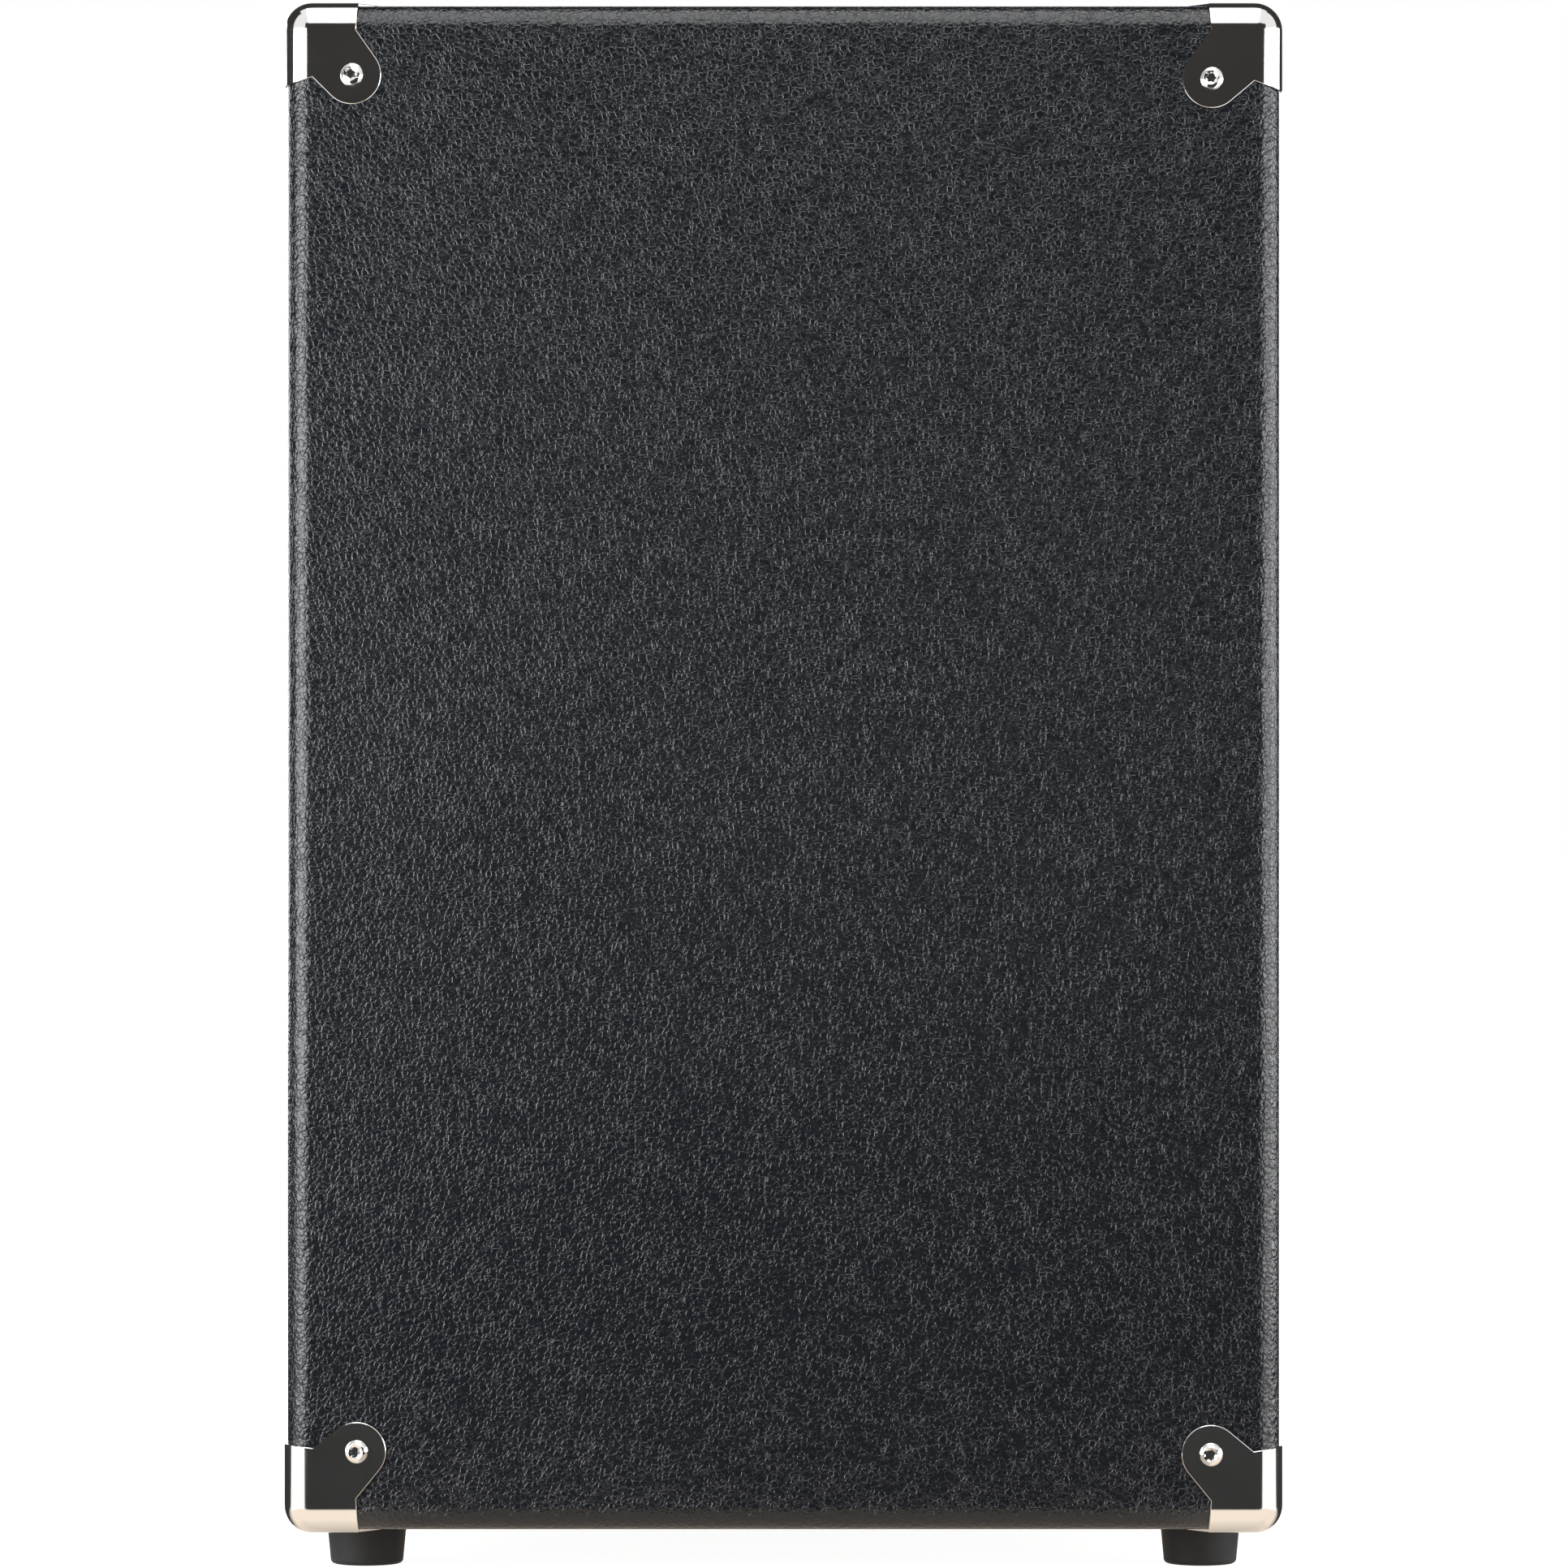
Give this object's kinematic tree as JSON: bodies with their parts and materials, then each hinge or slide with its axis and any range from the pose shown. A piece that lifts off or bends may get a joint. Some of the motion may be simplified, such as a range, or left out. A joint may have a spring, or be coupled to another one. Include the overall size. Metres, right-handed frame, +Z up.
{
  "type": "bass combo amplifier",
  "caption": "Upright bass guitar combo amplifier: a vinyl-covered cabinet with metal corner caps, rubber feet, a strap handle, a cloth grille, a large woofer, and an amplifier chassis above.",
  "frame": {"origin": "on the floor, under the middle of the cabinet", "axes": "+Z up, the grille faces -Y, +X to the right of someone facing the grille"},
  "size_m": [0.5174, 0.3886, 0.6311],
  "materials": {
    "aluminium": "extruded, natural",
    "black_plastic": "moulded black plastic",
    "circuit_board": "glass-epoxy board with its components",
    "copper": "wound copper wire",
    "ferrite": "ferrite ring and steel plate",
    "grille_cloth": "woven speaker cloth",
    "lamp": "red lens",
    "nickel": "polished nickel plate",
    "panel": "black painted steel sheet",
    "paper_cone": "pressed paper pulp",
    "piping": "light vinyl cord",
    "plywood": "bare birch plywood",
    "rubber": "moulded black rubber",
    "sheet_steel": "zinc-plated steel",
    "vinyl": "black pebble-grain vinyl"
  },
  "bodies": {
    "cabinet": {"amp_shelf": "vinyl", "cabinet_shell": "plywood", "chassis_tray": "sheet_steel", "control_board": "circuit_board", "control_panel": "panel", "corner_front_bottom_left": "nickel", "corner_front_bottom_right": "nickel", "corner_front_top_left": "nickel", "corner_front_top_right": "nickel", "corner_rear_bottom_left": "nickel", "corner_rear_bottom_right": "nickel", "corner_rear_top_left": "nickel", "corner_rear_top_right": "nickel", "crossover_board": "circuit_board", "di_connector": "sheet_steel", "foot_front_left": "rubber", "foot_front_right": "rubber", "foot_rear_left": "rubber", "foot_rear_right": "rubber", "front_baffle": "plywood", "grille_cloth": "grille_cloth", "grille_frame": "plywood", "grille_piping": "piping", "handle_cap_left": "nickel", "handle_cap_right": "nickel", "handle_strap": "rubber", "heat_sink": "aluminium", "horn_driver": "ferrite", "horn_flare": "black_plastic", "input_jack": "black_plastic", "main_board": "circuit_board", "mains_inlet": "black_plastic", "mains_transformer": "copper", "phones_jack": "black_plastic", "port_tube_left": "black_plastic", "port_tube_right": "black_plastic", "power_switch_housing": "black_plastic", "rear_board": "vinyl", "rear_panel": "panel", "speaker_jack": "black_plastic", "status_lamp": "lamp", "vinyl_covering": "vinyl", "woofer_basket": "sheet_steel", "woofer_magnet": "ferrite", "woofer_spider": "grille_cloth", "woofer_surround": "rubber", "woofer_yoke": "sheet_steel"},
    "knob_gain_body": {"knob_gain": "black_plastic"},
    "knob_bass_body": {"knob_bass": "black_plastic"},
    "knob_low_mid_body": {"knob_low_mid": "black_plastic"},
    "knob_high_mid_body": {"knob_high_mid": "black_plastic"},
    "knob_treble_body": {"knob_treble": "black_plastic"},
    "knob_master_body": {"knob_master": "black_plastic"},
    "button_pad_body": {"button_pad": "black_plastic"},
    "button_deep_body": {"button_deep": "black_plastic"},
    "button_bright_body": {"button_bright": "black_plastic"},
    "rocker": {"power_rocker": "black_plastic"},
    "drawer": {"fuse_drawer": "black_plastic"},
    "moving_cone": {"woofer_cone": "paper_cone", "voice_coil": "copper"}
  },
  "joints": [
    {"name": "knob_gain_turn", "type": "hinge", "parent": "cabinet", "child": "knob_gain_body", "pos_m": [-0.072, -0.163, 0.5517], "axis": [0, 1, 0], "range_deg": [-150, 150]},
    {"name": "knob_bass_turn", "type": "hinge", "parent": "cabinet", "child": "knob_bass_body", "pos_m": [-0.034, -0.163, 0.5517], "axis": [0, 1, 0], "range_deg": [-150, 150]},
    {"name": "knob_low_mid_turn", "type": "hinge", "parent": "cabinet", "child": "knob_low_mid_body", "pos_m": [0.004, -0.163, 0.5517], "axis": [0, 1, 0], "range_deg": [-150, 150]},
    {"name": "knob_high_mid_turn", "type": "hinge", "parent": "cabinet", "child": "knob_high_mid_body", "pos_m": [0.042, -0.163, 0.5517], "axis": [0, 1, 0], "range_deg": [-150, 150]},
    {"name": "knob_treble_turn", "type": "hinge", "parent": "cabinet", "child": "knob_treble_body", "pos_m": [0.08, -0.163, 0.5517], "axis": [0, 1, 0], "range_deg": [-150, 150]},
    {"name": "knob_master_turn", "type": "hinge", "parent": "cabinet", "child": "knob_master_body", "pos_m": [0.118, -0.163, 0.5517], "axis": [0, 1, 0], "range_deg": [-150, 150]},
    {"name": "button_pad_press", "type": "slide", "parent": "cabinet", "child": "button_pad_body", "axis": [0, 1, 0], "range_m": [0, 0.0025], "stiffness_N_per_m": 400},
    {"name": "button_deep_press", "type": "slide", "parent": "cabinet", "child": "button_deep_body", "axis": [0, 1, 0], "range_m": [0, 0.0025], "stiffness_N_per_m": 400},
    {"name": "button_bright_press", "type": "slide", "parent": "cabinet", "child": "button_bright_body", "axis": [0, 1, 0], "range_m": [0, 0.0025], "stiffness_N_per_m": 400},
    {"name": "rocker_tilt", "type": "hinge", "parent": "cabinet", "child": "rocker", "pos_m": [0.08775, 0.1783, 0.5517], "axis": [1, 0, 0], "range_deg": [0, 20]},
    {"name": "drawer_slide", "type": "slide", "parent": "cabinet", "child": "drawer", "axis": [0, 1, 0], "range_m": [0, 0.022]},
    {"name": "cone_travel", "type": "slide", "parent": "cabinet", "child": "moving_cone", "axis": [0, -1, 0], "range_m": [-0.006, 0.006], "stiffness_N_per_m": 3000, "deforming": ["woofer_surround", "woofer_spider"]}
  ]
}
